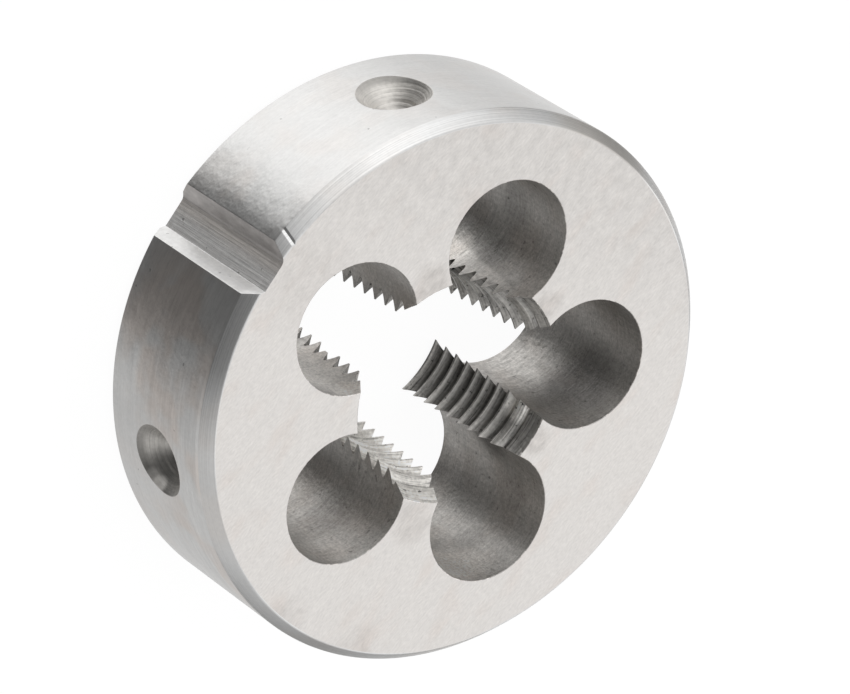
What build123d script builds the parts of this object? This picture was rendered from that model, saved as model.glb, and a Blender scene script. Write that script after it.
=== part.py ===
"""Round threading die: one ground steel disc that cuts an outside thread.

The die lies flat on its back face with its lead-in face up. The origin is the
middle of the back face, +Z is the die's axis and the setting notch is at -Y.
"""
import os
from math import atan, cos, degrees, pi, radians, sin, sqrt, tan

from build123d import *

# Disc
outer_diameter = 45.0
thickness = 14.0
front_chamfer_width = 0.8
front_chamfer_height = 1.0
back_chamfer = 0.75

# Clearance holes, which part the thread into lands and take the chips
clearance_hole_count = 5
clearance_hole_diameter = 10.64
clearance_circle_diameter = 23.73

# Thread: 18 threads in 25.4 mm, right-handed, narrowing towards the back face
thread_pitch = 25.4 / 18
thread_angle = 60.0
thread_taper_on_diameter = 1 / 16
crest_diameter_at_back = 14.7
crest_flat_width = 0.176
root_flat_width = 0.176
# Height of the first crest above the back face, on the +X side
first_crest_height = 0.354
# Each groove arc ends inside the clearance holes at either side of its land
groove_arc_share_of_step = 0.9

# Lead-in chamfer, which leaves the first teeth cut short
lead_diameter_at_face = 18.2
lead_half_angle = 30.0

# Setting notch: a V with a milled flat floor, cut along the whole rim
notch_floor_width = 2.5
notch_floor_depth = 1.15
notch_included_angle = 90.0

# Conical seats in the rim for the holder's fixing screws, one either side of the notch
seat_angle_from_notch = 46.75
seat_diameter = 5.7
seat_included_angle = 90.0
seat_bottom_diameter = 1.2

# How far a cutting tool runs past the face that it leaves
run_out = 1.0

outer_radius = outer_diameter / 2
notch_direction = -90.0


def disc():
    """The turned blank with a chamfer at each end of the rim."""
    outline = Polyline(
        (0, 0),
        (outer_radius - back_chamfer, 0),
        (outer_radius, back_chamfer),
        (outer_radius, thickness - front_chamfer_height),
        (outer_radius - front_chamfer_width, thickness),
        (0, thickness),
        close=True,
    )
    return revolve(Plane.XZ * make_face(outline), Axis.Z)


def crest_radius(height):
    """Radius of the tooth crests at a height above the back face."""
    return (crest_diameter_at_back + thread_taper_on_diameter * height) / 2


def bore():
    """The tapered bore that the crests lie on, with the lead-in cone at the top."""
    lead_slope = tan(radians(lead_half_angle))
    wall_slope = thread_taper_on_diameter / 2
    lead_radius = lead_diameter_at_face / 2
    meeting_depth = (lead_radius - crest_radius(thickness)) / (lead_slope - wall_slope)
    meeting_height = thickness - meeting_depth
    outline = Polyline(
        (0, -run_out),
        (crest_radius(-run_out), -run_out),
        (crest_radius(meeting_height), meeting_height),
        (lead_radius, thickness),
        (lead_radius + run_out * lead_slope, thickness + run_out),
        (0, thickness + run_out),
        close=True,
    )
    return revolve(Plane.XZ * make_face(outline), Axis.Z)


def clearance_holes():
    """The ring of round holes that opens into the bore, one in line with the notch."""
    step = 360 / clearance_hole_count
    middle = thickness / 2
    holes = Part()
    for number in range(clearance_hole_count):
        angle = radians(notch_direction + number * step)
        centre = (
            clearance_circle_diameter / 2 * cos(angle),
            clearance_circle_diameter / 2 * sin(angle),
            middle,
        )
        holes += Pos(*centre) * Cylinder(clearance_hole_diameter / 2, thickness + 2 * run_out)
    return holes


def groove_arc(land_angle, height):
    """One turn of the thread's V groove where it crosses one land."""
    flank_slope = tan(radians(thread_angle / 2))
    mouth_width = thread_pitch - crest_flat_width
    depth = (mouth_width - root_flat_width) / 2 / flank_slope
    crest = crest_radius(height)
    # The mouth opens into the bore, and stops short of the next turn's mouth
    overlap = crest_flat_width / 2
    mouth_half = mouth_width / 2 + overlap * flank_slope
    root_half = root_flat_width / 2
    section = Polyline(
        (crest - overlap, -mouth_half),
        (crest + depth, -root_half),
        (crest + depth, root_half),
        (crest - overlap, mouth_half),
        close=True,
    )
    reach = 360 / clearance_hole_count * groove_arc_share_of_step
    ring = revolve(Plane.XZ * make_face(section), Axis.Z, revolution_arc=reach)
    helix_angle = degrees(atan(thread_pitch / (2 * pi * (crest + depth / 2))))
    level_arc = Rot(0, 0, -reach / 2) * ring
    return Pos(0, 0, height) * Rot(0, 0, land_angle) * Rot(helix_angle, 0, 0) * level_arc


def thread_grooves():
    """Every turn of the right-handed groove on every land, one helix in all."""
    step = 360 / clearance_hole_count
    # The helix starts below the back face and runs out above the front face
    first_turn = -2
    last_turn = int(thickness / thread_pitch) + 1
    grooves = []
    for land in range(clearance_hole_count):
        land_angle = notch_direction + (land + 0.5) * step
        crest_height = first_crest_height + thread_pitch * land_angle / 360
        for turn in range(first_turn, last_turn + 1):
            groove_height = crest_height + (turn + 0.5) * thread_pitch
            grooves.append(groove_arc(land_angle, groove_height))
    return grooves


def notch():
    """The V-shaped setting notch with its flat floor."""
    flank_slope = tan(radians(notch_included_angle / 2))
    floor_distance = outer_radius - notch_floor_depth
    outside = outer_radius + run_out
    half_mouth = notch_floor_width / 2 + (outside - floor_distance) * flank_slope
    section = make_face(
        Polyline(
            (-half_mouth, -outside),
            (-notch_floor_width / 2, -floor_distance),
            (notch_floor_width / 2, -floor_distance),
            (half_mouth, -outside),
            close=True,
        )
    )
    return Pos(0, 0, -run_out) * extrude(section, thickness + 2 * run_out)


def screw_seat(angle):
    """One conical seat at mid-thickness, pointing at the die's axis."""
    slope = tan(radians(seat_included_angle / 2))
    # The cone has its full diameter where the rim's surface lies furthest in
    mouth_distance = sqrt(outer_radius**2 - (seat_diameter / 2) ** 2)
    bottom_distance = mouth_distance - (seat_diameter - seat_bottom_diameter) / 2 / slope
    outside = outer_radius + run_out
    mouth_radius = seat_diameter / 2 + (outside - mouth_distance) * slope
    outline = Polyline(
        (bottom_distance, 0),
        (bottom_distance, seat_bottom_diameter / 2),
        (outside, mouth_radius),
        (outside, 0),
        close=True,
    )
    cone = revolve(make_face(outline), Axis.X)
    return Pos(0, 0, thickness / 2) * Rot(0, 0, angle) * cone


def screw_seats():
    """The two fixing screw seats, at equal angles from the notch."""
    left = screw_seat(notch_direction - seat_angle_from_notch)
    right = screw_seat(notch_direction + seat_angle_from_notch)
    return left + right


def threading_die():
    """The finished die as one solid."""
    blank = disc() - bore() - clearance_holes() - notch() - screw_seats()
    return blank - thread_grooves()


os.makedirs("parts", exist_ok=True)
export_step(threading_die(), "parts/threading_die.step")
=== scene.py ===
"""Looks of a round threading die: one piece of steel, ground, turned, drilled, milled, threaded."""
from math import acos, asin, atan2, cos, pi, radians, sin, sqrt, tan

import bmesh
import bpy
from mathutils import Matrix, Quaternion, Vector
from mathutils.geometry import delaunay_2d_cdt


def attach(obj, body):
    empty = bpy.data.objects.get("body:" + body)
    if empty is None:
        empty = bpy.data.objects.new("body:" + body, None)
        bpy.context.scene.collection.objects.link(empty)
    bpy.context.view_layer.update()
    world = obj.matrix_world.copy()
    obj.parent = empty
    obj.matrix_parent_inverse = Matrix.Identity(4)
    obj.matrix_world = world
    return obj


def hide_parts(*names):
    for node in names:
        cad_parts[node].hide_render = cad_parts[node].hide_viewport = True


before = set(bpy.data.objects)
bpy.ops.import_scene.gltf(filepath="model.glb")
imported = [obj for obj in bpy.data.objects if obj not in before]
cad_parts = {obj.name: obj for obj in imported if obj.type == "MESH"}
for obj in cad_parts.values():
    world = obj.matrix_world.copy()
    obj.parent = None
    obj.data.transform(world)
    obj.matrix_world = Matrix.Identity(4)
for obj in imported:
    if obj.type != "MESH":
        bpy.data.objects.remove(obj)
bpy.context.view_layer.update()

# Sizes are in millimetres, and MM turns them into metres
MM = 0.001
NODE = "threading_die"
outer_radius = 22.5
thickness = 14.0

# Rim chamfers, as wide and as high as on the solid
front_chamfer_width = 0.8
front_chamfer_height = 1.0
back_chamfer = 0.75
rim_top = thickness - front_chamfer_height

# Clearance holes, one of them in line with the notch, whose direction is in degrees from +X
hole_count = 5
hole_radius = 5.32
hole_circle_radius = 11.865
notch_direction = -90.0

# Thread on the lands, with 18 turns in 25.4 mm
pitch = 25.4 / 18
flank_slope = tan(radians(30))
crest_radius_at_back = 7.35
crest_taper = 1 / 32
crest_flat = 0.176
root_flat = 0.176
first_crest_height = 0.354
thread_depth = (pitch - crest_flat - root_flat) / 2 / flank_slope
lead_radius_at_face = 9.1
lead_slope = tan(radians(30))

# A tooth with a blunt tip, placed by the turns and the height of its crest
blunt_turns = -0.1938
blunt_height = 7.13
blunt_half_width = 0.8
blunt_half_height = 0.5
blunt_wear = 0.28

# Setting notch
notch_floor_width = 2.5
notch_floor_depth = 1.15

# How far each corner of the notch is cut back and rounded, from its -X mouth to its +X mouth
notch_corners = (0.01, 0.32, 0.03, 0.04)

# A nick in the front chamfer beside the notch, leaning as the chamfer rises
nick_angle_below = radians(261.44)
nick_angle_above = radians(262.45)
nick_half_width = 0.2
nick_depth = 0.12
nick_fade = 0.2
nick_margin = 1.25

# Screw seats in the rim, each a cone with turned ridges, a step and the drill's tip
seat_angle_from_notch = 46.75
seat_radius = 2.85
seat_bottom_radius = 0.6
seat_tip_depth = 0.12
ridge_spacing = 0.27
ridge_height = 0.009
ridge_margin = 0.15
ridge_fade = 0.2
step_reach = 1.7
step_height = 0.07
step_width = 0.06

# Broken edges
hole_edge = 0.06
rim_edge = 0.2
notch_edge = 0.03
seat_edge = 0.035

# Rows and columns of the mesh
edge_steps = 4
flank_rows = 5
land_columns = 22
hole_columns = 46
rim_columns = 330
nick_columns = 10
columns_beside_nick = 8
rows_beside_seats = 3
seat_rows = 18
seat_rings = 44

# The window in the rim round each seat
window_reach = 3.7
window_heights = (thickness / 2 - window_reach, thickness / 2 + window_reach)

# Shares of the way from a window's border to its seat's mouth, where rings of corners lie
window_shares = (0.3, 0.6, 0.85)

# Gap between a chamfer's edge and the first plain row of the rim
plain_row_gap = 0.45

# Rounds of working out a length that depends on itself
land_rounds = 10
mouth_rounds = 8

# Finishes, in the order of the mesh's material slots
GROUND, TURNED, CHAMFER, FLANK, FLOOR, DRILLED, CUT, SEAT = range(8)


class Surface:
    """Corners and faces of one mesh, in millimetres, with a finish for each face."""

    def __init__(self):
        self.points = []
        self.faces = []
        self.finishes = []

    def add(self, point):
        """Adds one corner and returns its number."""
        self.points.append(tuple(point))
        return len(self.points) - 1

    def add_all(self, points):
        """Adds corners and returns their numbers."""
        return [self.add(point) for point in points]

    def face(self, corners, finish):
        """Adds one face, without the corners that come twice."""
        kept = list(dict.fromkeys(corners))
        if len(kept) > 2:
            self.faces.append(kept)
            self.finishes.append(finish)

    def band(self, lower, upper, finishes, closed=True):
        """Joins two rows that have as many corners as each other."""
        count = len(lower)
        for at in range(count if closed else count - 1):
            after = (at + 1) % count
            finish = finishes if isinstance(finishes, int) else finishes[at]
            self.face((lower[at], lower[after], upper[after], upper[at]), finish)

    def grow(self, row, points, finishes):
        """Adds a closed row of corners, joins it to the row before and returns it."""
        added = self.add_all(points)
        self.band(row, added, finishes)
        return added

    def plate(self, outer, inner, finish):
        """Fills the flat area between an outer and an inner row of corners."""
        numbers = outer + inner
        flat = [Vector(self.points[number][:2]) for number in numbers]
        edges = ring_edges(0, len(outer)) + ring_edges(len(outer), len(numbers))
        within_outline = 1
        closeness = 1e-7
        filled = delaunay_2d_cdt(flat, edges, [], within_outline, closeness, True)
        triangles, origins = filled[2:4]
        rim = [self.points[number] for number in outer]
        hole = [self.points[number] for number in inner]
        for triangle in triangles:
            corners = [numbers[origins[corner][0]] for corner in triangle]
            middle = [sum(self.points[corner][axis] for corner in corners) / 3 for axis in (0, 1)]
            if inside(middle, rim) and not inside(middle, hole):
                self.face(corners, finish)

    def to_object(self, name, materials):
        """Makes the Blender object, in metres, with every face turned outwards."""
        mesh = bpy.data.meshes.new(name)
        mesh.from_pydata([Vector(point) * MM for point in self.points], [], self.faces)
        for material in materials:
            mesh.materials.append(material)
        mesh.polygons.foreach_set("material_index", self.finishes)
        shell = bmesh.new()
        shell.from_mesh(mesh)
        bmesh.ops.recalc_face_normals(shell, faces=shell.faces)
        shell.to_mesh(mesh)
        shell.free()
        made = bpy.data.objects.new(name, mesh)
        bpy.context.scene.collection.objects.link(made)
        return made


def ring_edges(first, end):
    """Pairs of numbers that close a ring of corners, numbered from first up to end."""
    return [(at, at + 1) for at in range(first, end - 1)] + [(end - 1, first)]


def inside(point, ring):
    """True where a flat point lies within a closed row of points."""
    within = False
    before = ring[-1]
    for here in ring:
        if (here[1] > point[1]) != (before[1] > point[1]):
            aside = (point[1] - here[1]) * (before[0] - here[0]) / (before[1] - here[1])
            if point[0] < here[0] + aside:
                within = not within
        before = here
    return within


def steps(first, last, count):
    """Evenly spaced numbers from first to last, both included."""
    return [first + (last - first) * at / count for at in range(count + 1)]


def rounding(start, corner, end, share):
    """A point a share of the way along the curve that rounds a corner."""
    return start * (1 - share) ** 2 + corner * 2 * share * (1 - share) + end * share**2


# Inner wall: lands with their thread, and clearance holes


def land_radius(turns, height):
    """Radius of a land's surface, turns being how far round the axis it lies."""
    from_crest = (height - first_crest_height) / pitch - turns
    off_crest = abs(from_crest - round(from_crest)) * pitch
    groove = (off_crest - crest_flat / 2) / flank_slope
    thread = crest_radius_at_back + crest_taper * height + min(max(groove, 0), thread_depth)
    lead = lead_radius_at_face - (thickness - height) * lead_slope
    return max(thread, lead, blunt_radius(turns, height))


def blunt_radius(turns, height):
    """Radius that the blunt tooth is worn back to, and 0 away from it."""
    across = (turns - blunt_turns) * 2 * pi * crest_radius_at_back / blunt_half_width
    up = (height - blunt_height) / blunt_half_height
    off_tip = sqrt(across**2 + up**2)
    if off_tip > 1:
        return 0
    return crest_radius_at_back + crest_taper * height + blunt_wear * (1 - off_tip**4)


def helix_rows():
    """Heights of the helix's rows where they pass the +X side, and how many make one turn."""
    flank = steps(crest_flat / 2, (pitch - root_flat) / 2, flank_rows)
    one_turn = [0, *flank, pitch / 2, *(pitch - height for height in reversed(flank))]
    # Turns beyond both faces too, because a row climbs as it goes round
    spare_turns = 2
    turns = range(-spare_turns, int(thickness / pitch) + spare_turns)
    rows = [first_crest_height + turn * pitch + height for turn in turns for height in one_turn]
    return rows, len(one_turn)


def limited(height):
    """A height kept between the broken edges of the two faces."""
    return min(max(height, hole_edge), thickness - hole_edge)


def hole_corner(radius):
    """Turns from the middle of a clearance hole to where its edge crosses a radius."""
    reach = (radius**2 + hole_circle_radius**2 - hole_radius**2) / (2 * radius * hole_circle_radius)
    return acos(reach) / (2 * pi)


def land_place(land, share, row):
    """Turns, height and radius of a row of the helix, a share of the way across a land."""
    hole_turns = notch_direction / 360 + land / hole_count
    radius = crest_radius_at_back
    for _ in range(land_rounds):
        corner = hole_corner(radius)
        turns = hole_turns + corner + (1 / hole_count - 2 * corner) * share
        height = limited(row + pitch * turns)
        radius = land_radius(turns, height)
    return turns, height, radius


def land_points(land, row):
    """Points of one row across one land, without the last."""
    points = []
    for share in steps(0, 1, land_columns)[:-1]:
        turns, height, radius = land_place(land, share, row)
        points.append((radius * cos(2 * pi * turns), radius * sin(2 * pi * turns), height))
    return points


def hole_points(land, row):
    """Points of one row round the clearance hole that comes after a land, without the last."""
    middle = notch_direction / 360 + (land + 1) / hole_count
    centre = Vector((cos(2 * pi * middle), sin(2 * pi * middle))) * hole_circle_radius
    ends = []
    for place in (land_place(land, 1, row), land_place(land + 1, 0, row)):
        angle = 2 * pi * place[0]
        from_centre = Vector((cos(angle), sin(angle))) * place[2] - centre
        ends.append((place[0], atan2(from_centre.y, from_centre.x)))
    (first_turns, first_angle), (last_turns, last_angle) = ends
    sweep = (last_angle - first_angle) % (2 * pi)
    points = []
    for share in steps(0, 1, hole_columns)[:-1]:
        angle = first_angle + sweep * share
        x = centre.x + hole_radius * cos(angle)
        y = centre.y + hole_radius * sin(angle)
        height = limited(row + pitch * (first_turns + (last_turns - first_turns) * share))
        points.append((x, y, height))
    return points


def inner_row(row):
    """One row of the helix, once round the bore and the clearance holes."""
    points = []
    for land in range(hole_count):
        points += land_points(land, row)
        points += hole_points(land, row)
    return points


def moved_in(points, distance, height):
    """A closed row moved into the steel by a distance, with mitred corners, at another height."""
    moved = []
    count = len(points)
    for at in range(count):
        here = Vector(points[at][:2])
        ahead = (Vector(points[(at + 1) % count][:2]) - here).normalized()
        behind = (here - Vector(points[at - 1][:2])).normalized()
        sides = Vector((ahead.y + behind.y, -ahead.x - behind.x))
        mitre = sides / (1 + ahead.dot(behind))
        moved.append((here.x + mitre.x * distance, here.y + mitre.y * distance, height))
    return moved


def broken_edge(surface, points, corners, finishes, face_height, inwards):
    """Adds the rounded edge between the inner wall and a face, and returns its row at the face."""
    for step in range(1, edge_steps + 1):
        turn = pi / 2 * step / edge_steps
        height = face_height + inwards * hole_edge * (1 - sin(turn))
        ring = moved_in(points, hole_edge * (1 - cos(turn)), height)
        corners = surface.grow(corners, ring, finishes)
    return corners


def inner_wall(surface):
    """Adds the lands and the holes, and returns their rows at the back and front faces."""
    finishes = ([CUT] * land_columns + [DRILLED] * hole_columns) * hole_count
    # A row this far off is held at a face's edge all the way round
    far_off = 100
    back = [(x, y, hole_edge) for x, y, _ in inner_row(-far_off)]
    front = [(x, y, thickness - hole_edge) for x, y, _ in inner_row(far_off)]
    back_corners = surface.add_all(back)
    front_corners = surface.add_all(front)
    rows, rows_in_turn = helix_rows()
    made = []
    for row in rows:
        corners = []
        for point, below, above in zip(inner_row(row), back_corners, front_corners):
            if point[2] <= hole_edge:
                corners.append(below)
            elif point[2] >= thickness - hole_edge:
                corners.append(above)
            else:
                corners.append(surface.add(point))
        made.append(corners)
    for at in range(len(made) - rows_in_turn - 1):
        # A row that has gone once round is the row one pitch further up
        lower = made[at] + [made[at + rows_in_turn][0]]
        upper = made[at + 1] + [made[at + 1 + rows_in_turn][0]]
        surface.band(lower, upper, finishes, closed=False)
    return (
        broken_edge(surface, back, back_corners, finishes, 0, 1),
        broken_edge(surface, front, front_corners, finishes, thickness, -1),
    )


# Outer wall: rim with its chamfers, notch and screw seats


def rounded(points, reaches, count):
    """An open outline whose corners are cut back, each by its reach, and rounded."""
    made = [Vector(points[0])]
    for reach, before, corner, after in zip(reaches, points, points[1:], points[2:]):
        corner = Vector(corner)
        start = corner + (Vector(before) - corner).normalized() * reach
        end = corner + (Vector(after) - corner).normalized() * reach
        made += [rounding(start, corner, end, share) for share in steps(0, 1, count)]
    made.append(Vector(points[-1]))
    return made


def rim_profile():
    """Radius and height along the rim, from the back face to the front face."""
    outline = [
        (outer_radius - back_chamfer - rim_edge, 0),
        (outer_radius - back_chamfer, 0),
        (outer_radius, back_chamfer),
        (outer_radius, rim_top),
        (outer_radius - front_chamfer_width, thickness),
        (outer_radius - front_chamfer_width - rim_edge, thickness),
    ]
    return rounded(outline, [rim_edge / 2] * 4, edge_steps)


def radius_at(height, profile):
    """Radius of the rim at a height."""
    height = min(max(height, profile[1].y), profile[-2].y)
    for below, above in zip(profile[1:], profile[2:]):
        if below.y <= height <= above.y and above.y > below.y:
            share = (height - below.y) / (above.y - below.y)
            return below.x + (above.x - below.x) * share
    return profile[-2].x


def rim_heights(profile):
    """Heights of the rows round the rim, with rows at each rounded edge and over the seats."""
    heights = [point.y for point in profile]
    for step in range(edge_steps + 1):
        rise = notch_edge * (1 - sin(pi / 2 * step / edge_steps))
        heights += [rise, thickness - rise]
    lowest, highest = window_heights
    heights += steps(back_chamfer + plain_row_gap, lowest, rows_beside_seats)
    heights += steps(lowest, highest, seat_rows)
    heights += steps(highest, rim_top - plain_row_gap, rows_beside_seats)
    return sorted({round(height, 5) for height in heights})


def notch_points(radius, depth):
    """Flat points of the notch, from its -X to its +X mouth, and both mouths' angles from -Y."""
    floor_distance = outer_radius - notch_floor_depth - depth
    meeting = outer_radius - notch_floor_depth - notch_floor_width / 2 - depth * sqrt(2)
    mouth = (meeting + sqrt(2 * radius**2 - meeting**2)) / 2
    half_floor = floor_distance - meeting
    half_mouth = mouth - meeting
    before = asin(half_mouth / radius) + notch_corners[0] / radius
    after = asin(half_mouth / radius) + notch_corners[-1] / radius
    outline = [
        (-radius * sin(before), -radius * cos(before)),
        (-half_mouth, -mouth),
        (-half_floor, -floor_distance),
        (half_floor, -floor_distance),
        (half_mouth, -mouth),
        (radius * sin(after), -radius * cos(after)),
    ]
    return rounded(outline, notch_corners, edge_steps)[1:-1], before, after


def nick_angle(height):
    """Direction of the nick's middle at a height."""
    share = min(1, max(0, (height - thickness) / front_chamfer_height + 1))
    return nick_angle_below + (nick_angle_above - nick_angle_below) * share


def nicked(radius, angle, height):
    """Radius of the rim with the nick cut into it."""
    off_middle = abs(angle - nick_angle(height)) * radius
    above_rim = height - thickness + front_chamfer_height
    fade = min(1, max(0, (above_rim + nick_fade / 2) / nick_fade))
    return radius - nick_depth * fade * max(0, 1 - off_middle / nick_half_width)


def arc_angles(start, end, radius, height):
    """Directions of one row's columns round the rim, close together at the nick."""
    nick = nick_angle(height)
    reach = nick_half_width * nick_margin / radius
    round_the_rim = steps(start, nick - reach, rim_columns)[1:-1]
    over_the_nick = steps(nick - reach, nick + reach, nick_columns)
    return round_the_rim + over_the_nick + steps(nick + reach, end, columns_beside_nick)[1:-1]


def outer_row(radius, height):
    """One row round the rim and through the notch, anticlockwise from the notch's +X mouth."""
    near_face = min(height, thickness - height)
    depth = 0
    if near_face < notch_edge:
        depth = notch_edge - sqrt(notch_edge**2 - (notch_edge - near_face) ** 2)
    through_notch, before, after = notch_points(radius, depth)
    arc = []
    for angle in arc_angles(-pi / 2 + after, 1.5 * pi - before, radius, height):
        reach = nicked(radius, angle, height)
        arc.append((reach * cos(angle), reach * sin(angle), height))
    notch = [(point.x, point.y, height) for point in through_notch]
    return arc + notch, len(arc)


def rim_finish(height):
    """Finish of the rim at a height."""
    if back_chamfer <= height <= rim_top:
        return TURNED
    return CHAMFER


def notch_finish(side):
    """Finish of the notch at a distance to +X from its middle."""
    if abs(side) < notch_floor_width / 2:
        return FLOOR
    return FLANK


def seat_window(arc, heights, seat):
    """First and last column and row of the rim's window for a seat, arc being the lowest row."""
    half_angle = window_reach / outer_radius
    # The rows' heights are rounded
    slack = 0.001
    columns = []
    for at, point in enumerate(arc):
        off_seat = (atan2(point[1], point[0]) - seat + pi) % (2 * pi) - pi
        if abs(off_seat) < half_angle:
            columns.append(at)
    lowest, highest = window_heights
    levels = [at for at, height in enumerate(heights) if lowest - slack < height < highest + slack]
    return columns[0], columns[-1], levels[0], levels[-1]


def in_window(window, at, level):
    """True where a face of the rim lies in a seat's window."""
    first, last, low, high = window
    return first <= at < last and low <= level < high


def window_border(rows, window):
    """Corners round a window in the rim, anticlockwise as seen from outside."""
    first, last, low, high = window
    border = [rows[low][at] for at in range(first, last)]
    border += [rows[level][last] for level in range(low, high)]
    border += [rows[high][at] for at in range(last, first, -1)]
    border += [rows[level][first] for level in range(high, low, -1)]
    return border


def outer_wall(surface):
    """Adds the rim, the notch and the seats, and returns the rows at the back and front faces."""
    profile = rim_profile()
    heights = rim_heights(profile)
    rows = []
    for height in heights:
        points, arc_points = outer_row(radius_at(height, profile), height)
        rows.append(surface.add_all(points))
    arc = [surface.points[corner] for corner in rows[0][:arc_points]]
    seats = [
        radians(notch_direction - seat_angle_from_notch),
        radians(notch_direction + seat_angle_from_notch),
    ]
    windows = [seat_window(arc, heights, seat) for seat in seats]
    across = len(rows[0])
    for level, (lower, upper) in enumerate(zip(rows, rows[1:])):
        for at in range(across):
            if any(in_window(window, at, level) for window in windows):
                continue
            after = (at + 1) % across
            if at < arc_points or at == across - 1:
                finish = rim_finish((heights[level] + heights[level + 1]) / 2)
            else:
                ends = [surface.points[lower[end]][0] for end in (at, after)]
                finish = notch_finish(sum(ends) / 2)
            surface.face((lower[at], lower[after], upper[after], upper[at]), finish)
    for seat, window in zip(seats, windows):
        screw_seat(surface, window_border(rows, window), seat)
    return rows[0], rows[-1]


def seat_mouth(turn):
    """Distance from a seat's middle to its mouth, in the direction turn on the rim."""
    edge_distance = sqrt(outer_radius**2 - seat_radius**2)
    reach = seat_radius
    for _ in range(mouth_rounds):
        reach = seat_radius + sqrt(outer_radius**2 - (reach * cos(turn)) ** 2) - edge_distance
    return reach


def seat_distance(reach):
    """Distance from the axis to the seat's turned cone, at a reach from its middle."""
    edge_distance = sqrt(outer_radius**2 - seat_radius**2)
    plain = edge_distance - (seat_radius - reach)
    fade = min(1, max(0, (seat_radius - ridge_margin - reach) / ridge_fade))
    ridge = ridge_height * (0.5 - (reach / ridge_spacing) % 1) * fade
    step = step_height * min(1, max(0, (step_reach - reach) / step_width))
    return plain + ridge - step


def screw_seat(surface, border, seat):
    """Adds one conical seat and the rim's surface between its mouth and a border of corners."""
    along = Vector((cos(seat), sin(seat), 0))
    across = Vector((-sin(seat), cos(seat), 0))
    up = Vector((0, 0, 1))
    middle = Vector((0, 0, thickness / 2))

    def on_rim(side, rise):
        return middle + along * sqrt(outer_radius**2 - side**2) + across * side + up * rise

    def on_cone(reach, turn):
        side = across * reach * cos(turn)
        rise = up * reach * sin(turn)
        return middle + along * seat_distance(reach) + side + rise

    starts = []
    turns = []
    for corner in border:
        from_middle = Vector(surface.points[corner]) - middle
        starts.append((from_middle.dot(across), from_middle.z))
        turns.append(atan2(from_middle.z, from_middle.dot(across)))
    row = border
    for share in window_shares:
        ring = []
        for (side, rise), turn in zip(starts, turns):
            reach = seat_mouth(turn) + seat_edge
            moved_side = side + (reach * cos(turn) - side) * share
            moved_rise = rise + (reach * sin(turn) - rise) * share
            ring.append(on_rim(moved_side, moved_rise))
        row = surface.grow(row, ring, TURNED)
    for share in steps(0, 1, edge_steps):
        ring = []
        for turn in turns:
            mouth = seat_mouth(turn)
            outer = mouth + seat_edge
            start = on_rim(outer * cos(turn), outer * sin(turn))
            corner = on_rim(mouth * cos(turn), mouth * sin(turn))
            ring.append(rounding(start, corner, on_cone(mouth - seat_edge, turn), share))
        row = surface.grow(row, ring, TURNED if share == 0 else SEAT)
    for share in steps(0, 1, seat_rings)[1:]:
        ring = []
        for turn in turns:
            first = seat_mouth(turn) - seat_edge
            ring.append(on_cone(first + (seat_bottom_radius - first) * share, turn))
        row = surface.grow(row, ring, SEAT)
    tip = surface.add(middle + along * (seat_distance(seat_bottom_radius) - seat_tip_depth))
    for at, corner in enumerate(row):
        surface.face((corner, row[(at + 1) % len(row)], tip), SEAT)


# Nodes


class Channel:
    """A value, colour or vector that runs through nodes. A sum on it adds its Math node."""

    def __init__(self, bench, socket):
        self.bench = bench
        self.socket = socket

    def worked(self, operation, first, second):
        """A Math node on two values."""
        return self.bench.node("Math", {"operation": operation}, {0: first, 1: second})

    def __add__(self, other):
        return self.worked("ADD", self, other)

    def __sub__(self, other):
        return self.worked("SUBTRACT", self, other)

    def __mul__(self, other):
        return self.worked("MULTIPLY", self, other)

    def __truediv__(self, other):
        return self.worked("DIVIDE", self, other)

    def __pow__(self, other):
        return self.worked("POWER", self, other)

    def __rsub__(self, other):
        return self.worked("SUBTRACT", other, self)

    def __rtruediv__(self, other):
        return self.worked("DIVIDE", other, self)

    __radd__ = __add__
    __rmul__ = __mul__


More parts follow.
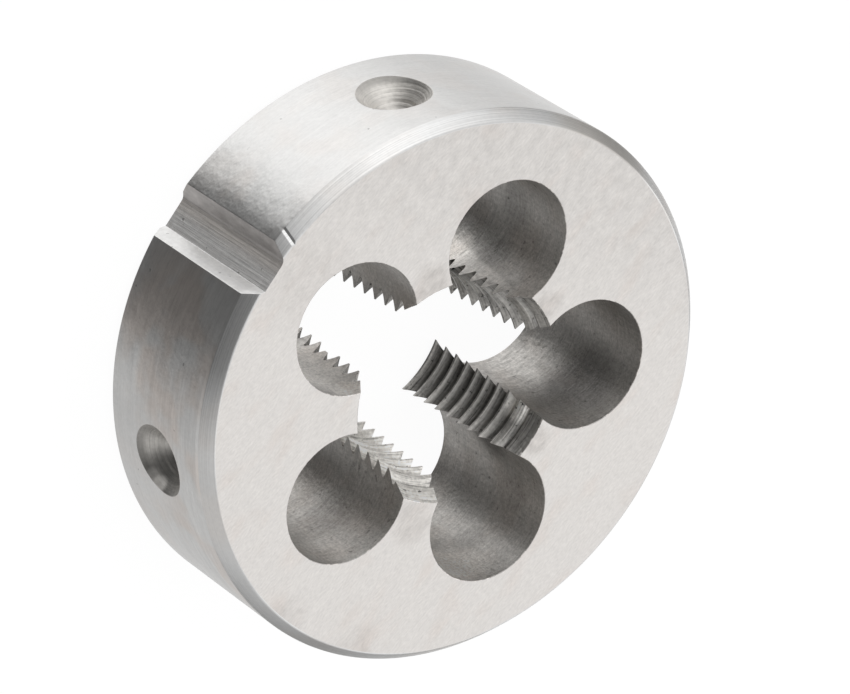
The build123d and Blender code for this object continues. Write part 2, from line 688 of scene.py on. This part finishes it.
class Bench:
    """Makes the nodes of one material or of the world."""

    def __init__(self, tree):
        self.tree = tree
        tree.nodes.clear()

    def node(self, kind, settings=None, values=None, output=0):
        """Makes one node from its type, its settings and its sockets' values or links."""
        made = self.tree.nodes.new("ShaderNode" + kind)
        for name, setting in (settings or {}).items():
            if name == "stops":
                self.set_stops(made.color_ramp, setting)
            else:
                setattr(made, name, setting)
        for name, value in (values or {}).items():
            if isinstance(value, Channel):
                self.tree.links.new(value.socket, made.inputs[name])
            else:
                made.inputs[name].default_value = value
        return Channel(self, made.outputs[output]) if made.outputs else None

    def set_stops(self, ramp, stops):
        """Gives a ramp its stops, each a place and a grey level, with straight runs between."""
        ramp.interpolation = "LINEAR"
        while len(ramp.elements) < len(stops):
            ramp.elements.new(1)
        for element, (place, level) in zip(ramp.elements, stops):
            element.position = place
            element.color = (level, level, level, 1)

    def smooth(self, value, low, high):
        """0 below low, 1 above high and smooth between, or the other way where low is above."""
        settings = {"interpolation_type": "SMOOTHSTEP"}
        return self.node("MapRange", settings, {0: value, 1: low, 2: high})

    def between(self, factor, first, second):
        """The first colour where the factor is 0 and the second where it is 1."""
        return self.node("Mix", {"data_type": "RGBA"}, {0: factor, 6: first, 7: second}, 2)

    def parts(self, vector):
        """The x, y and z of a vector."""
        made = self.node("SeparateXYZ", None, {0: vector})
        return [Channel(self, socket) for socket in made.socket.node.outputs]

    def joined(self, x, y, z):
        """A vector from three values."""
        return self.node("CombineXYZ", None, {0: x, 1: y, 2: z})

    def noise(self, place, scale, detail):
        """Soft noise from 0 to 1, about 0.5."""
        return self.node("TexNoise", None, {"Vector": place, "Scale": scale, "Detail": detail})

    def drawn_noise(self, parts, lengths, detail):
        """Soft noise from 0 to 1, drawn out to a length in millimetres along each part."""
        x, y, z = (part / length for part, length in zip(parts, lengths))
        return self.noise(self.joined(x, y, z), 1, detail)

    def shaded(self, colour, shade):
        """A colour made lighter or darker."""
        return self.node("VectorMath", {"operation": "SCALE"}, {0: colour, "Scale": shade})

    def spot(self, place, middle, reach, strength):
        """A soft spot round a point, full near the point and gone at its reach."""
        full_share = 0.35
        values = {0: place, 1: middle}
        away = self.node("VectorMath", {"operation": "DISTANCE"}, values, "Value")
        return self.smooth(away, reach, reach * full_share) * strength

    def spots(self, place, spots):
        """Sum of soft spots, each a point, a reach and a strength."""
        return sum(self.spot(place, *spot) for spot in spots)

    def relief(self, height):
        """A normal for a height in millimetres."""
        return self.node("Bump", None, {"Strength": 1.0, "Distance": MM, "Height": height})

    def place(self):
        """The place on the part in millimetres."""
        metres = self.node("TexCoord", None, None, "Object")
        return self.node("VectorMath", {"operation": "SCALE"}, {0: metres, "Scale": 1 / MM})


def steel(build):
    """A steel material. build takes the bench and the place, and gives the shader's values."""
    material = bpy.data.materials.new(build.__name__)
    material.use_nodes = True
    bench = Bench(material.node_tree)
    place = bench.place()
    values = {"Metallic": 1.0, **build(bench, place, *bench.parts(place))}
    shader = bench.node("BsdfPrincipled", None, values)
    bench.node("OutputMaterial", None, {"Surface": shader})
    return material


# Finishes, with stains, rough places and painted light and shade as soft spots, each a point and a
# reach in millimetres and a strength


# Where the faces are dull and brown with handling: beside the lands, the notch and the rim
face_dull = (
    ((-5.8, -8.0, 14.0), 2.2, 0.12),
    ((0.0, 9.6, 14.0), 1.6, 0.12),
    ((10.2, 3.2, 14.0), 2.6, 0.1),
    ((-9.2, 3.0, 14.0), 1.6, 0.1),
    ((-1.0, -18.5, 14.0), 5.0, 0.05),
    ((21.2, -2.4, 14.0), 2.2, 0.06),
    ((20.8, 5.0, 14.0), 2.6, 0.06),
)


def ground_face(bench, place, x, y, z):
    """The two faces, ground flat with fine straight lines and a little stained by handling."""
    clean = (0.68, 0.657, 0.635, 1)
    brown = (0.65, 0.6, 0.565, 1)
    lean = radians(-9)
    along = x * cos(lean) + y * sin(lean)
    across = y * cos(lean) - x * sin(lean)
    fine = bench.drawn_noise((along, across, z), (0.38, 0.15, 1), 2) - 0.5
    lines = bench.drawn_noise((along, across, z), (5, 0.22, 1), 2) - 0.5
    clouds = bench.drawn_noise((along, across, z), (1.1, 0.8, 1), 3) - 0.5
    stains = bench.smooth(bench.drawn_noise((along, across, z + 7), (5, 2.5, 1), 2), 0.5, 0.75)
    dull = bench.spots(place, face_dull)
    # Darker towards -X, and darker and browner at the dull spots
    handled = bench.smooth(x + y * 0.3, -4, -20) * 0.08 + dull
    colour = bench.between(stains * 0.6 + dull * 2.5, clean, brown)
    shade = 1 + fine * 0.3 + lines * 0.1 + clouds * (0.16 + handled * 2.5) - handled
    return {
        "Base Color": bench.shaded(colour, shade),
        "Roughness": 0.36 + clouds * 0.15,
        "Normal": bench.relief(fine * 0.008 + lines * 0.0025),
    }


# Where the rim is brown with handling, on either side of the notch
rim_handled = (
    ((8.5, -20.8, 7.0), 9.0, 1),
    ((-4.0, -22.1, 7.0), 3.0, 0.7),
    ((16.0, -16.0, 12.0), 7.0, 0.6),
    ((20.8, -8.5, 9.0), 6.5, 0.7),
)

# Painted light and shade on the rim: a lighter patch low down and a darker one above it, both on
# the notch's +X side
rim_light_and_shade = (
    ((11.2, -19.5, 2.0), 4.5, 0.15),
    ((8.4, -20.8, 9.0), 5.0, -0.06),
)


def turned_rim(bench, place, x, y, z):
    """The rim, turned, with fine rings, brown stains, specks, painted light and shade in patches, a
    painted highlight along its top and painted shade beside the notch.
    """
    clean = (0.735, 0.73, 0.72, 1)
    brown = (0.725, 0.67, 0.63, 1)
    rings = bench.drawn_noise((x, y, z), (7, 7, 0.09), 3) - 0.5
    streaks = bench.drawn_noise((x, y, z), (3, 3, 0.5), 3) - 0.5
    grain = bench.drawn_noise((x, y, z), (0.35, 0.35, 0.22), 2) - 0.5
    clouds = bench.noise(place, 0.55, 3) - 0.5
    specks = bench.smooth(bench.noise(place, 1.7, 1), 0.77, 0.8)
    handled = bench.spots(place, rim_handled)
    stains = bench.smooth(bench.noise(place, 0.25, 2), 0.4, 0.65) * (handled + 0.25)
    # Painted shade on the rim beside the notch's -X mouth
    notch_side_shade = bench.smooth(x, -4.3, -2.5) * bench.smooth(x, -1, -2) * bench.smooth(y, -20, -21)
    # Painted highlight: a lighter band along the top of the rim, within a patch on the notch's +X
    # side
    painted_light_patch = bench.spot(place, (13.2, -18.2, 13.0), 6.5, 0.2)
    edge_highlight = bench.smooth(z, rim_top - 0.55, rim_top - 0.25) * painted_light_patch
    texture = rings * 0.18 + streaks * (handled * 0.35 + 0.08) + grain * 0.16
    # Painted light and shade in patches, in the base colour
    painted_light_and_shade = bench.spots(place, rim_light_and_shade)
    shade = (1 + texture + clouds * 0.14 + painted_light_and_shade + edge_highlight) * (1 - notch_side_shade * 0.3)
    return {
        "Base Color": bench.shaded(bench.between(stains, clean, brown), shade - specks * 0.35),
        "Roughness": 0.34 + clouds * 0.1,
        "Anisotropic": 0.85,
        "Anisotropic Rotation": 0.25,
        "Normal": bench.relief(rings * 0.004 + grain * 0.012 + clouds * 0.05),
    }


# Painted light and shade on the front chamfer, lighter or darker in patches
chamfer_light_and_shade = (
    ((-7.6, -20.6, 13.5), 4.5, -0.15),
    ((12.0, -18.5, 13.5), 5.0, 0.14),
    ((21.8, -3.0, 13.5), 5.0, 0.13),
    ((-20.6, 8.2, 13.5), 5.5, 0.16),
    ((-22.1, 0.8, 13.5), 3.5, -0.1),
)


def turned_chamfer(bench, place, x, y, z):
    """The rim's two chamfers, with the turning tool's rings, smoothed where they are handled, with
    painted light and shade in patches and painted shade along the face's edge.
    """
    clean = (0.74, 0.74, 0.735, 1)
    brown = (0.73, 0.71, 0.69, 1)
    tarnished = (0.67, 0.645, 0.61, 1)
    feed_spacing = 0.135
    rings = bench.drawn_noise((x, y, z), (14, 14, 0.055), 2) - 0.5
    wobble = bench.drawn_noise((x, y, z), (9, 9, 0.4), 1)
    feed_turns = z / feed_spacing + wobble * 0.9
    feed = bench.node("Math", {"operation": "SINE"}, {0: feed_turns * (2 * pi)})
    groove_place = bench.joined(x / 20, y / 20, z / 0.08 + 5)
    grooves = bench.smooth(bench.noise(groove_place, 1, 1), 0.52, 0.66)
    grain = bench.drawn_noise((x, y, z), (0.4, 0.4, 0.2), 2) - 0.5
    stains = bench.smooth(bench.noise(place, 0.2, 2), 0.4, 0.7)
    tarnish = bench.spot(place, (-22.0, -1.0, 13.5), 6.5, 1)
    colour = bench.between(tarnish, bench.between(stains, clean, brown), tarnished)
    # Painted light and shade in patches
    painted_light_and_shade = bench.spots(place, chamfer_light_and_shade)
    sharp = 1 - bench.spot(place, (20.6, -8.0, 13.5), 16.0, 0.65)
    # Painted shade along the edge to the face, dimming its highlight
    face_edge_shade = bench.smooth(z, thickness - 0.07, thickness - 0.01)
    ringed = (rings * 0.36 + feed * 0.04 - grooves * 0.07) * sharp
    shade = 1.02 + ringed + grain * 0.15 + painted_light_and_shade - face_edge_shade * 0.14
    height = (rings * 0.008 + feed * 0.0008 - grooves * 0.002) * sharp + grain * 0.004
    return {
        "Base Color": bench.shaded(colour, shade),
        "Roughness": 0.3,
        "Anisotropic": 0.8,
        "Anisotropic Rotation": 0.25,
        "Normal": bench.relief(height),
    }


def milled_flank(bench, place, x, y, z):
    """The notch's two flanks, milled smooth, the -X one darker and browner: painted shade with
    stains.
    """
    clean = (0.76, 0.755, 0.745, 1)
    # The -X flank's colour: darker for painted shade, browner for stains
    dull = (0.52, 0.495, 0.48, 1)
    fine = bench.drawn_noise((x, y, z), (0.2, 0.2, 2.5), 3) - 0.5
    stains = bench.drawn_noise((x, y, z), (0.6, 0.6, 1.6), 3) - 0.5
    grain = bench.noise(place, 2.6, 3) - 0.5
    specks = bench.smooth(bench.noise(place, 1.9, 1), 0.75, 0.79)
    # Painted shade and stains on the -X flank
    minus_x_shade_and_stain = bench.smooth(x, 1, -1)
    shade = 1 + fine * 0.15 + grain * 0.26 - specks * 0.4 + stains * minus_x_shade_and_stain * 0.7
    return {
        "Base Color": bench.shaded(bench.between(minus_x_shade_and_stain, clean, dull), shade),
        "Roughness": 0.38,
        "Normal": bench.relief(fine * 0.004 + grain * 0.012),
    }


def milled_floor(bench, place, x, y, z):
    """The notch's floor, with the cutter's streaks along the axis, browner on the -X side."""
    clean = (0.71, 0.7, 0.69, 1)
    brown = (0.675, 0.64, 0.61, 1)
    fine = bench.drawn_noise((x, y, z), (0.06, 0.06, 3), 3) - 0.5
    streaks = bench.drawn_noise((x, y, z), (0.22, 0.22, 6), 2) - 0.5
    grain = bench.noise(place, 2.6, 2) - 0.5
    specks = bench.smooth(bench.noise(place, 1.9, 1), 0.73, 0.78)
    colour = bench.between(bench.smooth(x, 0.4, -0.9), clean, brown)
    shade = 1 + fine * 0.5 + streaks * 0.2 + grain * 0.2 - specks * 0.45
    return {
        "Base Color": bench.shaded(colour, shade),
        "Roughness": 0.5,
        "Anisotropic": 0.5,
        "Normal": bench.relief(fine * 0.012 + streaks * 0.03 + grain * 0.012),
    }


# Painted light and shade on the clearance holes' walls, lighter or darker in patches
hole_light_and_shade = (
    ((12.03, 11.24, 11.0), 4.6, 1.1),
    ((4.82, -9.6, 10.0), 4.0, 0.8),
    ((4.0, -8.3, 14.0), 2.6, 1.0),
    ((3.5, -7.9, 6.0), 2.4, 0.45),
    ((1.81, 10.89, 7.0), 3.2, -0.5),
    ((-5.0, 14.5, 9.5), 5.0, -0.38),
    ((-2.78, 12.88, 2.0), 4.6, 0.22),
    ((-11.3, 1.65, 4.6), 1.8, -0.14),
    ((-10.3, 1.6, 7.2), 2.2, -0.3),
    ((-8.87, 1.07, 3.5), 2.4, 0.45),
    ((-14.6, 0.5, 7.4), 2.6, -0.22),
    ((-5.0, 14.5, 8.0), 2.6, -0.1),
    ((-6.0, 14.9, 8.6), 4.0, -0.1),
    ((-2.6, 12.6, 12.0), 3.2, 0.28),
    ((-7.3, 14.9, 2.6), 2.6, 0.3),
    ((9.4, 14.3, 8.6), 1.8, -0.15),
    ((4.0, 14.0, 10.0), 2.4, -0.15),
    ((5.5, 14.7, 1.4), 3.0, 0.25),
    ((13.3, 1.3, 7.8), 3.0, -0.2),
    ((15.9, -1.0, 11.6), 3.0, 0.25),
)

# Where the clearance holes' walls are left rough
hole_rough = (
    ((-2.78, 12.88, 2.0), 6.0, 1),
    ((-8.87, 1.07, 3.0), 3.6, 1),
    ((8.9, 1.1, 8.5), 2.5, 1),
)


def drilled_hole(bench, place, x, y, z):
    """The clearance holes' walls, drilled, dull and a little pitted, rough near the bore, with
    painted light and shade, and burrs painted as glints at the front edge.
    """
    clean = (0.47, 0.455, 0.435, 1)
    brown = (0.44, 0.415, 0.39, 1)
    rings = bench.drawn_noise((x, y, z), (2, 2, 0.13), 3) - 0.5
    lines = bench.drawn_noise((x, y, z), (0.25, 0.25, 3), 2) - 0.5
    coarse = bench.drawn_noise((x, y, z), (0.9, 0.9, 0.35), 2) - 0.5
    grain = bench.noise(place, 3.2, 3) - 0.5
    grit = bench.noise(place, 6.5, 2) - 0.5
    pits = bench.smooth(bench.noise(place, 1.5, 2), 0.68, 0.76)
    # Painted light on part of the -X hole's wall, ending at a sharp painted shadow edge
    painted_light_patch = bench.smooth(x - z * 0.125, -10.5, -10.05) * bench.smooth(y, 2.4, 1.9)
    painted_light_patch = painted_light_patch * bench.spot(place, (-9.3, 1.2, 7.0), 8.0, 0.32)
    # Painted light and shade in patches, with the painted light on the -X hole's wall
    painted_light_and_shade = bench.spots(place, hole_light_and_shade) + painted_light_patch
    rough = bench.spots(place, hole_rough)
    stains = bench.smooth(bench.noise(place, 0.3, 2), 0.4, 0.7)
    edge = bench.smooth(z, thickness - hole_edge * 1.6, thickness - hole_edge)
    # Burrs at the front edge, painted as bright glints
    glinting_burrs = bench.smooth(bench.noise(place, 1.6, 3), 0.52, 0.62) * edge
    texture = rings * 0.5 + lines * 0.3 + grain * 0.6 + grit * 0.7
    shade = (1 + texture + coarse * rough * 0.9 - pits * 0.4) * (1 + painted_light_and_shade) + glinting_burrs * 0.6
    return {
        "Base Color": bench.shaded(bench.between(stains, clean, brown), shade),
        "Roughness": 0.5,
        "Anisotropic": 0.4,
        "Anisotropic Rotation": 0.25,
        "Normal": bench.relief(rings * 0.02 + grain * 0.03 + coarse * rough * 0.06),
    }


# Directions of three lands from the axis, in degrees from +X: one rougher and painted lighter, one
# with painted shade on its flanks and cone, one painted darker
worn_lit_land = 18
shaded_land = 90
darker_land = 162


def on_land(bench, x, y, radius, direction):
    """1 on the land in a direction from the axis, and 0 on the others."""
    facing = x * cos(radians(direction)) + y * sin(radians(direction))
    return bench.smooth(facing / radius, 0.9, 0.94)


def cut_thread(bench, place, x, y, z):
    """Teeth and lead-in cone, cut along the helix, with one land rougher and painted lighter, two
    lands painted darker, painted shade in the roots and a painted glint.
    """
    turns = bench.node("Math", {"operation": "ARCTAN2"}, {0: y, 1: x}) / (2 * pi)
    rise = z - turns * pitch
    radius = (x * x + y * y) ** 0.5
    from_crest = (radius - z * crest_taper - crest_radius_at_back) / thread_depth
    off_cone = radius + (thickness - z) * lead_slope - lead_radius_at_face
    on_cone = bench.smooth(off_cone, 0.06, 0.01)
    worn_and_lit = on_land(bench, x, y, radius, worn_lit_land)
    dull = on_land(bench, x, y, radius, darker_land)
    on_shaded_land = on_land(bench, x, y, radius, shaded_land)
    lines = bench.smooth(bench.drawn_noise((x, y, rise), (3, 3, 0.06), 3), 0.36, 0.64) - 0.5
    scores = bench.smooth(bench.drawn_noise((x, y, rise), (2.2, 2.2, 0.17), 2), 0.36, 0.62) - 0.5
    scratch_place = bench.joined(x / 5, y / 5, rise / 0.1 + 9)
    scratches = bench.smooth(bench.noise(scratch_place, 1, 1), 0.58, 0.64)
    grain = bench.noise(place, 3.5, 2) - 0.5
    pits = bench.smooth(bench.noise(place, 2.1, 2), 0.64, 0.72)
    # Painted shade in the thread's roots, away from the cone
    root_shade = bench.smooth(from_crest, 0.4, 1) * (1 - on_cone) * 0.2
    texture = lines * 0.26 + scores * 0.26 + grain * 0.8 - scratches * 0.3
    # Painted shade on the shaded land's flanks below the crests and on its cone
    below_crest = bench.smooth(from_crest, 0, 0.35) * (0.3 - bench.smooth(z, 8, 11) * 0.1)
    land_shade = (below_crest + 0.15) * (1 - on_cone) + on_cone * 0.32
    # Painted glint near the front of the +Y land
    painted_glint = bench.spot(place, (-1.4, 8.2, 11.8), 1.5, 1.2)
    # Painted light on one land, painted shade on the other two
    land = 1 + worn_and_lit * 0.7 + painted_glint - dull * (0.28 - on_cone * 0.22) - on_shaded_land * land_shade
    at_face = bench.smooth(z, thickness - 0.14, thickness - 0.08)
    # Burrs at the front edge, painted as bright glints
    glinting_burrs = bench.smooth(bench.noise(place, 1.9, 2), 0.55, 0.62) * at_face * 0.8
    shade = (1 + texture - pits * 0.6 - root_shade) * land + glinting_burrs
    height = lines * 0.006 + scores * 0.008 + grain * 0.02 - scratches * 0.004
    return {
        "Base Color": bench.shaded((0.52, 0.505, 0.48), shade),
        "Roughness": 0.34 + worn_and_lit * 0.14,
        "Anisotropic": 0.8,
        "Anisotropic Rotation": 0.25,
        "Normal": bench.relief(height),
    }


# Painted light on the screw seats, lighter in spots
seat_light_spots = (
    ((17.85, -13.3, 6.1), 0.9, 0.9),
    ((17.6, -13.65, 5.3), 0.8, 0.5),
    ((-16.3, -13.7, 9.0), 1.8, 0.4),
    ((-14.6, -17.1, 6.0), 2.0, 0.25),
    ((-15.1, -15.6, 5.0), 2.4, 0.6),
)


def countersunk_seat(bench, place, x, y, z):
    """The screw seats' turned cones, with uneven rings, a painted shadow at the mouth, painted
    light in spots and a painted shade spot.
    """
    seat = radians(seat_angle_from_notch - 90)
    side = bench.node("Math", {"operation": "ABSOLUTE"}, {0: x}) * -sin(seat) + y * cos(seat)
    rise = z - thickness / 2
    reach = (side * side + rise * rise) ** 0.5
    rings = bench.drawn_noise((reach, side, rise), (0.08, 6, 6), 2) - 0.5
    ridges = bench.drawn_noise((reach, side, rise), (0.2, 9, 9), 1) - 0.5
    grain = bench.noise(place, 3, 2) - 0.5
    shaded_side = bench.smooth((side * 0.5 - rise * 0.87) / reach, 0.1, 0.9)
    # Painted shadow inside the mouth, on its shaded side
    mouth_shadow = bench.smooth(reach, 2.4, 2.8) * shaded_side
    # Painted light in spots, where the steel is also less metallic
    seat_light = bench.spots(place, seat_light_spots)
    # Painted shade in a spot in the +X seat
    seat_shade_spot = bench.spot(place, (16.5, -13.8, 5.9), 1.9, 0.45)
    texture = rings * 0.6 + ridges * 0.5 + grain * 0.4
    shade = (1 + texture) * (1 - mouth_shadow * 0.42) * (1 - seat_shade_spot) + seat_light * 0.3
    return {
        "Base Color": bench.shaded((0.6, 0.58, 0.55), shade),
        "Metallic": 1 - seat_light * 0.7,
        "Roughness": 0.46,
        "Normal": bench.relief(rings * 0.015 + ridges * 0.03 + grain * 0.012),
    }


# The die


def threading_die():
    """The whole die as one closed mesh."""
    surface = Surface()
    inner_back, inner_front = inner_wall(surface)
    outer_back, outer_front = outer_wall(surface)
    surface.plate(outer_back, inner_back, GROUND)
    surface.plate(outer_front, inner_front, GROUND)
    # In the order of the finishes' numbers
    builders = (
        ground_face,
        turned_rim,
        turned_chamfer,
        milled_flank,
        milled_floor,
        drilled_hole,
        cut_thread,
        countersunk_seat,
    )
    die = surface.to_object("die_finish", [steel(build) for build in builders])
    sharp_from = radians(28)
    die.data.shade_smooth()
    die.data.set_sharp_from_angle(angle=sharp_from)
    weighted = die.modifiers.new("flat_faces_first", "WEIGHTED_NORMAL")
    weighted.keep_sharp = True
    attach(die, "root")
    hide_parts(NODE)


# Studio


# Light from round the die: directions in degrees from +X, and levels
studio_sides = (
    (-180, 1.07),
    (-155, 1.33),
    (-122, 1.25),
    (-110, 0.62),
    (-100, 0.16),
    (-85, 0.115),
    (-55, 0.135),
    (-42, 0.28),
    (-28, 0.5),
    (-10, 0.63),
    (15, 0.7),
    (40, 0.73),
    (62, 0.98),
    (90, 1.14),
    (115, 1.11),
    (135, 0.86),
    (160, 0.88),
    (180, 1.07),
)

# Two brighter spots in the studio, each a direction, a reach and a strength
studio_glows = (
    ((-0.16, -0.86, 0.48), 0.3, 0.3),
    ((-0.08, 0.655, -0.75), 0.38, 0.1),
)


def studio_light():
    """Soft light from all round, dark on the camera's side and low down behind the die."""
    world = bpy.data.worlds.new("studio")
    bpy.context.scene.world = world
    world.use_nodes = True
    bench = Bench(world.node_tree)
    direction = bench.node("TexCoord", None, None, "Generated")
    x, y, z = bench.parts(direction)
    turns = bench.node("Math", {"operation": "ARCTAN2"}, {0: y, 1: x}) / (2 * pi)
    stops = [((angle + 180) / 360, level) for angle, level in studio_sides]
    level = bench.node("ValToRGB", {"stops": stops}, {0: turns + 0.5})
    behind = bench.smooth(y - x * 0.12, -0.2, 0.4)
    to_the_left = bench.node("Math", {"operation": "MINIMUM"}, {0: x, 1: 0.0})
    low_down = bench.smooth(z + to_the_left * 0.12, -0.57, -0.42)
    low_down = low_down * (1 - bench.smooth(z, -0.06, 0.14))
    dimmed = level * (1 - behind * low_down * 0.72) + bench.spots(direction, studio_glows)
    overhead = bench.smooth(z, 0.66, 0.9) * 0.85
    strength = bench.node("Math", {"operation": "MAXIMUM"}, {0: dimmed, 1: overhead})
    light = bench.node("Background", None, {"Color": (1, 1, 1, 1), "Strength": strength})
    bench.node("OutputWorld", None, {"Surface": light})


def white_floor():
    """A white table, lit from within so that the die's shadow on it stays faint."""
    reach = 2.5
    glow = 0.95
    paint = (0.08, 0.08, 0.08, 1)
    corners = [(-reach, -reach, 0), (reach, -reach, 0), (reach, reach, 0), (-reach, reach, 0)]
    mesh = bpy.data.meshes.new("floor")
    mesh.from_pydata(corners, [], [(0, 1, 2, 3)])
    floor = bpy.data.objects.new("floor", mesh)
    bpy.context.scene.collection.objects.link(floor)
    material = bpy.data.materials.new("white_floor")
    material.use_nodes = True
    bench = Bench(material.node_tree)
    lit = bench.node("Emission", None, {"Strength": glow})
    painted = bench.node("BsdfDiffuse", None, {"Color": paint})
    both = bench.node("AddShader", None, {0: lit, 1: painted})
    # From below the table is clear, so that the back face can be looked at
    under = bench.node("NewGeometry", None, None, "Backfacing")
    clear = bench.node("BsdfTransparent")
    shown = bench.node("MixShader", None, {0: under, 1: both, 2: clear})
    bench.node("OutputMaterial", None, {"Surface": shown})
    mesh.materials.append(material)
    # In reflections it would wash out the lower rim
    floor.visible_glossy = False


def photo_camera():
    """The camera at the photograph's place, looking down on the die from the notch's side."""
    aim = Vector((-1.559, -5.280, 14.0)) * MM
    distance = 416.331 * MM
    azimuth = radians(-90.819)
    elevation = radians(48.408)
    roll = radians(123.195)
    back = Vector((cos(elevation) * cos(azimuth), cos(elevation) * sin(azimuth), sin(elevation)))
    lens = bpy.data.cameras.new("photo_camera")
    lens.sensor_width = 36
    lens.lens = 234.912
    lens.clip_start = 0.01
    lens.clip_end = 100
    camera = bpy.data.objects.new("photo_camera", lens)
    bpy.context.scene.collection.objects.link(camera)
    camera.location = aim + back * distance
    camera.rotation_mode = "QUATERNION"
    camera.rotation_quaternion = back.to_track_quat("Z", "Y") @ Quaternion((0, 0, 1), roll)
    bpy.context.scene.camera = camera


threading_die()
studio_light()
white_floor()
photo_camera()
bpy.context.scene.view_settings.view_transform = "Standard"
